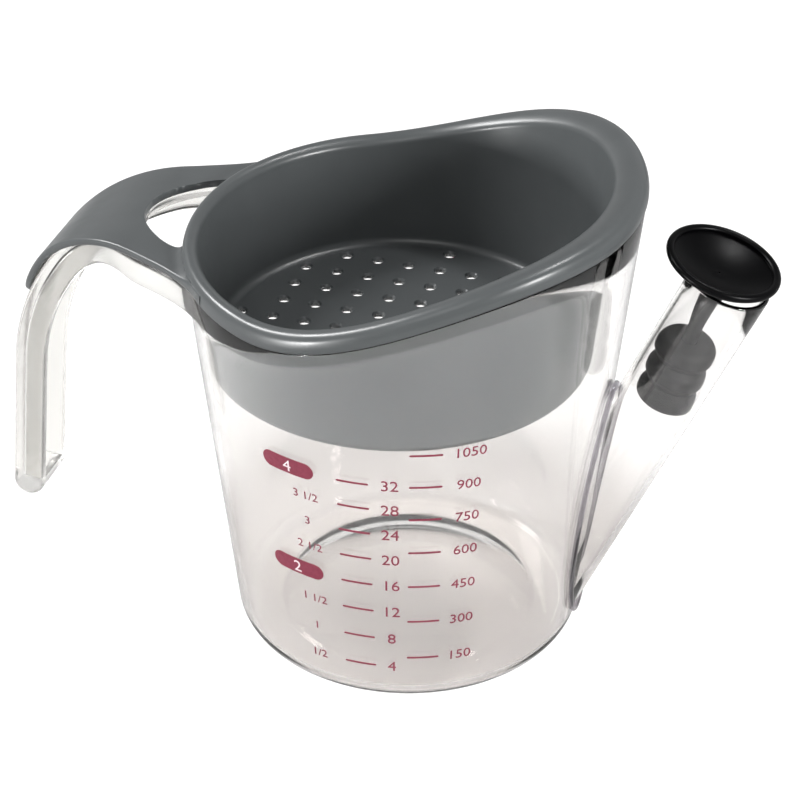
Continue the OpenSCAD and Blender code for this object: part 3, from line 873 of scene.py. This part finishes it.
def stopper_plug():
    """The plug: three soft tiers with grooves between them."""
    tiers = 3
    half = PLUG_L / 2
    pitch = (PLUG_L + GROOVE_W) / tiers
    tier = pitch - GROOVE_W
    soft, hollow = 2.6, 0.6              # rounding of a tier, and of a groove's bottom
    groove_r = PLUG_R - GROOVE_DEPTH
    outline = [(NECK_R, STEM_FOOT_S), (AXIS_R, STEM_FOOT_S), (AXIS_R, -half)]
    for k in range(tiers):
        low = -half + k * pitch
        outline += arc(PLUG_R - soft, low + soft, soft, -90 if k == 0 else -50, 0, 8)
        outline += arc(PLUG_R - soft, low + tier - soft, soft, 0, 90 if k == tiers - 1 else 50, 8)
        if k < tiers - 1:
            outline += arc(groove_r + hollow, low + tier + GROOVE_W / 2, hollow, 230, 130, 5)
    outline += [(NECK_R, half)]
    obj = turned("stopper_plug_tiers", outline, STOPPER, 50.0, 96)
    dress(obj, PLUG_GRAY, "stopper", "plug_gray", "stopper_plug")


def stopper_stem():
    """The neck that flares out under the cap."""
    top = CAP_RIM_S - DISH_DEPTH - CAP_SKIN
    flare, waist, run = 2.1 * NECK_R, 0.88 * NECK_R, 18.0
    steps = 12
    outline = [(AXIS_R, STEM_FOOT_S), (waist, STEM_FOOT_S), (waist, PLUG_L / 2), (waist, top - run)]
    for k in range(1, steps + 1):
        outline.append((waist + (flare - waist) * (k / steps) ** 1.3, top - run + run * k / steps))
    outline += [(flare, top + 0.15), (AXIS_R, top + 0.05)]
    obj = turned("stopper_neck", outline, STOPPER, 50.0, 96)
    dress(obj, PLUG_GRAY, "stopper", "plug_gray", "stopper_stem")


def stopper_cap():
    """The cap: a dished disc with a bead round its rim and a small gate mark in the middle."""
    bead = 1.3
    gate_h, gate_r = 0.35, 1.6
    dish = CAP_R - bead
    curve_r = (dish ** 2 + DISH_DEPTH ** 2) / 2 / DISH_DEPTH
    centre_s = CAP_RIM_S + curve_r - DISH_DEPTH
    edge_in, edge_out = dish - bead * 0.75, dish - bead * 0.2

    def on_sphere(r, radius):
        return centre_s - math.sqrt(radius ** 2 - r ** 2)

    upper = [(r, on_sphere(r, curve_r) + gate_h * math.exp(-(r / gate_r) ** 2))
             for r in spaced(AXIS_R, edge_in, 20)]
    lower = [(r, on_sphere(r, curve_r + CAP_SKIN)) for r in spaced(AXIS_R, edge_out, 20)]
    outline = upper + arc(dish, CAP_RIM_S, bead, 160, -90, 20) + lower[::-1]
    obj = turned("stopper_cap_dish", outline, STOPPER, 60.0)
    dress(obj, CAP_BLACK, "stopper", "cap_black", "stopper_cap")


# -------------------------------- print
def fill_z(ml):
    """Height to which a volume in millilitres fills the jug."""
    r_floor = jug_bore_r(FLOOR_T)
    return FLOOR_T + ((3 * TAPER * ml * 1000 / math.pi + r_floor ** 3) ** (1 / 3) - r_floor) / TAPER


def wrapped(obj, direction, z, lift=INK_GAP):
    """Bends a flat piece (x along the print, y up, z out, in millimetres) onto the jug's wall."""
    work = bmesh.new()
    work.from_mesh(obj.data)
    xs = [v.co.x for v in work.verts]
    step = 0.8                          # cut this fine along the print, so that it bends
    for k in range(1, int((max(xs) - min(xs)) / step) + 1):
        bmesh.ops.bisect_plane(work, geom=work.verts[:] + work.edges[:] + work.faces[:],
                               plane_co=(min(xs) + k * step, 0, 0), plane_no=(1, 0, 0))
    for v in work.verts:
        height = z + v.co.y
        radius = jug_r(height)
        a = math.radians(direction) + v.co.x / radius
        radius += lift + v.co.z
        v.co = Vector((radius * math.cos(a), radius * math.sin(a), height)) * MM
    bmesh.ops.remove_doubles(work, verts=work.verts, dist=0.001 * MM)
    bmesh.ops.recalc_face_normals(work, faces=work.faces)
    work.to_mesh(obj.data)
    work.free()
    return obj


def flat_outline(outline):
    """A flat closed piece over an outline, as thick as the ink."""
    points, faces = prism(outline, 0.0, INK_T)
    mesh = bpy.data.meshes.new("ink")
    mesh.from_pydata(points, [], faces)
    obj = bpy.data.objects.new("ink", mesh)
    bpy.context.collection.objects.link(obj)
    return obj


DIGIT_SHARE = 0.7                   # height of a digit over the size of the font


def numeral(text, height):
    """A printed number, centred, its digits this high in millimetres."""
    curve = bpy.data.curves.new("numeral", "FONT")
    curve.body = text
    curve.size = height / DIGIT_SHARE
    curve.align_x = "CENTER"
    curve.extrude = INK_T / 2
    curve.resolution_u = 3
    shown = bpy.data.objects.new("numeral", curve)
    bpy.context.collection.objects.link(shown)
    mesh = bpy.data.meshes.new_from_object(shown.evaluated_get(bpy.context.evaluated_depsgraph_get()))
    bpy.data.objects.remove(shown, do_unlink=True)
    for v in mesh.vertices:
        v.co.y -= height / 2
        v.co.z += INK_T / 2
    obj = bpy.data.objects.new("numeral", mesh)
    bpy.context.collection.objects.link(obj)
    return obj


def dash():
    """A printed dash with rounded ends."""
    end = DASH_H / 2
    x = DASH_L / 2 - end
    return flat_outline(arc(x, 0, end, -90, 90, 6) + arc(-x, 0, end, 90, 270, 6))


def badge():
    """A printed oval badge."""
    end = BADGE_H / 2
    x = BADGE_L / 2 - end
    return flat_outline(arc(x, 0, end, -90, 90, 14) + arc(-x, 0, end, 90, 270, 14))


def print_scale():
    """Dashes, numbers and badges of the volume scale."""
    ounce_h, cup_h, metric_h, badge_digit_h = 4.0, 3.0, 3.6, 4.2
    cups = {1: "1/2", 2: "1", 3: "1 1/2", 5: "2 1/2", 6: "3", 7: "3 1/2"}
    dashes, numbers, badges, white = [], [], [], []
    for half_cups in range(1, HALF_CUP_MARKS + 1):
        z = fill_z(half_cups * HALF_CUP_ML)
        dashes.append(wrapped(dash(), CUP_DASH_A, z))
        numbers.append(wrapped(numeral(str(HALF_CUP_OUNCES * half_cups), ounce_h), OUNCE_A, z))
        if half_cups in cups:
            numbers.append(wrapped(numeral(cups[half_cups], cup_h), CUP_A, z))
        else:
            badges.append(wrapped(badge(), BADGE_A, z))
            digit = numeral(str(half_cups // 2), badge_digit_h)
            white.append(wrapped(digit, BADGE_A, z, INK_GAP + INK_T * 0.6))
    for step in range(1, METRIC_MARKS + 1):
        z = fill_z(step * METRIC_STEP_ML)
        dashes.append(wrapped(dash(), METRIC_DASH_A, z))
        numbers.append(wrapped(numeral(str(METRIC_STEP_LABEL * step), metric_h), METRIC_A, z))
    for name, parts, look, nodes in (("scale_dashes", dashes, INK_RED, ["scale_marks"]),
                                     ("scale_numbers", numbers, INK_RED, []),
                                     ("cup_badge_ovals", badges, INK_RED, ["cup_badges"]),
                                     ("cup_badge_numbers", white, INK_WHITE, [])):
        obj = join(name, parts)
        obj.data.polygons.foreach_set("use_smooth", [False] * len(obj.data.polygons))
        dress(obj, look, "jug", "ink_red", *nodes)


# -------------------------------- stage, light and camera
def floor_material():
    """The pale floor: nearly white where the camera sees it, its glow weaker round the object as
    painted shade, where it also keeps the real shadow. Through clear plastic it is pale gray
    near the jug, a painted shadow, and white further off. In reflections, and for the light that
    it throws back, it is a plain light gray."""
    made, tree, output = material("pale_studio_floor")
    where = add(tree, "ShaderNodeTexCoord").outputs["Object"]
    away = add(tree, "ShaderNodeVectorMath", {0: where}, operation="LENGTH").outputs["Value"]
    path = add(tree, "ShaderNodeLightPath")

    fibre = add(tree, "ShaderNodeTexNoise", {"Vector": where}, {"Scale": per_mm(60), "Detail": 3.0})
    fibre_share = spread(tree, fibre.outputs["Fac"], 0, 1)
    plain = add(tree, "ShaderNodeBsdfDiffuse", {"Color": tinted(tree, fibre_share, "#b8b8b8", "#b5b5b5")})

    # painted shadow: seen through clear plastic the floor is grayer within 85 mm of the jug's axis, fading to
    # white by 135 mm
    shade = add(tree, "ShaderNodeMapRange", {"Value": away},
                {"From Min": 85 * MM, "From Max": 135 * MM}, interpolation_type="SMOOTHSTEP")
    under = add(tree, "ShaderNodeBsdfDiffuse",
                {"Color": tinted(tree, shade.outputs["Result"], "#c8c5c4", "#ffffff")})

    pale = add(tree, "ShaderNodeBsdfDiffuse", values={"Color": colour("#9c9c9c")})
    # painted shade: the floor's glow is weaker near the object and grows further off
    far = add(tree, "ShaderNodeMapRange", {"Value": away},
              {"From Min": 300 * MM, "From Max": 1300 * MM, "To Min": 0.73, "To Max": 0.95},
              interpolation_type="SMOOTHSTEP")
    glow = add(tree, "ShaderNodeEmission", {"Strength": far.outputs["Result"]},
               {"Color": colour("#ffffff")})
    lit = add(tree, "ShaderNodeAddShader", {0: pale.outputs[0], 1: glow.outputs[0]})

    unseen = add(tree, "ShaderNodeMixShader",
                 {0: path.outputs["Is Transmission Ray"], 1: plain.outputs[0], 2: under.outputs[0]})
    chosen = add(tree, "ShaderNodeMixShader",
                 {0: path.outputs["Is Camera Ray"], 1: unseen.outputs[0], 2: lit.outputs[0]})
    tree.links.new(chosen.outputs[0], output.inputs["Surface"])
    return made


def white_surround():
    """The world: white to the camera and through clear plastic. It lights the object from the
    sides more than from overhead."""
    world = bpy.data.worlds.new("white_surround")
    bpy.context.scene.world = world
    world.use_nodes = True
    tree = world.node_tree
    tree.nodes.clear()
    path = add(tree, "ShaderNodeLightPath")
    seen = add(tree, "ShaderNodeMath",
               {0: path.outputs["Is Camera Ray"], 1: path.outputs["Is Transmission Ray"]},
               operation="MAXIMUM")
    way = add(tree, "ShaderNodeSeparateXYZ", {0: add(tree, "ShaderNodeTexCoord").outputs["Generated"]})
    dome = add(tree, "ShaderNodeMapRange", {"Value": way.outputs["Z"]},
               {"From Min": 0.15, "From Max": 0.75, "To Min": 0.46, "To Max": 0.17},
               interpolation_type="SMOOTHSTEP")
    strength = add(tree, "ShaderNodeMix", {"Factor": seen.outputs[0], "A": dome.outputs["Result"]},
                   {"B": 1.0})
    back = add(tree, "ShaderNodeBackground", {"Strength": strength.outputs["Result"]},
               {"Color": colour("#ffffff")})
    tree.links.new(back.outputs[0], add(tree, "ShaderNodeOutputWorld").inputs["Surface"])


def stage():
    """The floor, just under the object's feet, and the surround."""
    reach, z = 4000.0, -0.05
    corners = [(-reach, -reach, z), (reach, -reach, z), (reach, reach, z), (-reach, reach, z)]
    floor = mesh_object("floor", corners, [(0, 1, 2, 3)])
    floor.data.materials.append(floor_material())
    white_surround()


def aimed(name, data, target, azimuth, elevation, distance):
    """Places a lamp or a camera round a target and turns it there. Azimuth 0 is the front, 90 the
    spout's side."""
    az, el = math.radians(azimuth), math.radians(elevation)
    away = Vector((math.sin(az) * math.cos(el), -math.cos(az) * math.cos(el), math.sin(el)))
    obj = bpy.data.objects.new(name, data)
    obj.location = (target + distance * away) * MM
    obj.rotation_euler = (-away).to_track_quat("-Z", "Y").to_euler()
    bpy.context.collection.objects.link(obj)
    return obj


def softbox(name, azimuth, elevation, distance, size, power):
    """A rectangular area lamp aimed at the middle of the object, its power in watts."""
    lamp = bpy.data.lights.new(name, "AREA")
    lamp.shape = "RECTANGLE"
    lamp.size, lamp.size_y = size[0] * MM, size[1] * MM
    lamp.energy = power
    middle = Vector((0, 0, 90))
    aimed(name, lamp, middle, azimuth, elevation, distance)


def camera():
    """The camera: solved from the photograph's outline and marks."""
    lens = bpy.data.cameras.new("camera")
    lens.sensor_width = 36.0
    lens.lens = 117.8                   # focal length in millimetres
    lens.clip_start, lens.clip_end = 0.01, 20.0
    target = Vector((-2.69, -0.86, 78.0))
    bpy.context.scene.camera = aimed("camera", lens, target, azimuth=17.76, elevation=33.98,
                                     distance=837.1)


camera()
stage()
softbox("left_low_softbox", -42, 1, 900, (70, 70), 5.4)
softbox("left_high_softbox", -98, 42, 900, (260, 260), 7.4)
softbox("front_softbox", 0, 50, 900, (500, 500), 1.4)
softbox("right_softbox", 69, 23, 800, (120, 170), 5.6)
softbox("back_spot", 133, 64, 930, (110, 110), 2.6)
bpy.context.scene.view_settings.view_transform = "Standard"

jug_body()
spout()
spout_seam()
handle()
strainer_bowl()
strainer_tab()
stopper_plug()
stopper_stem()
stopper_cap()
print_scale()
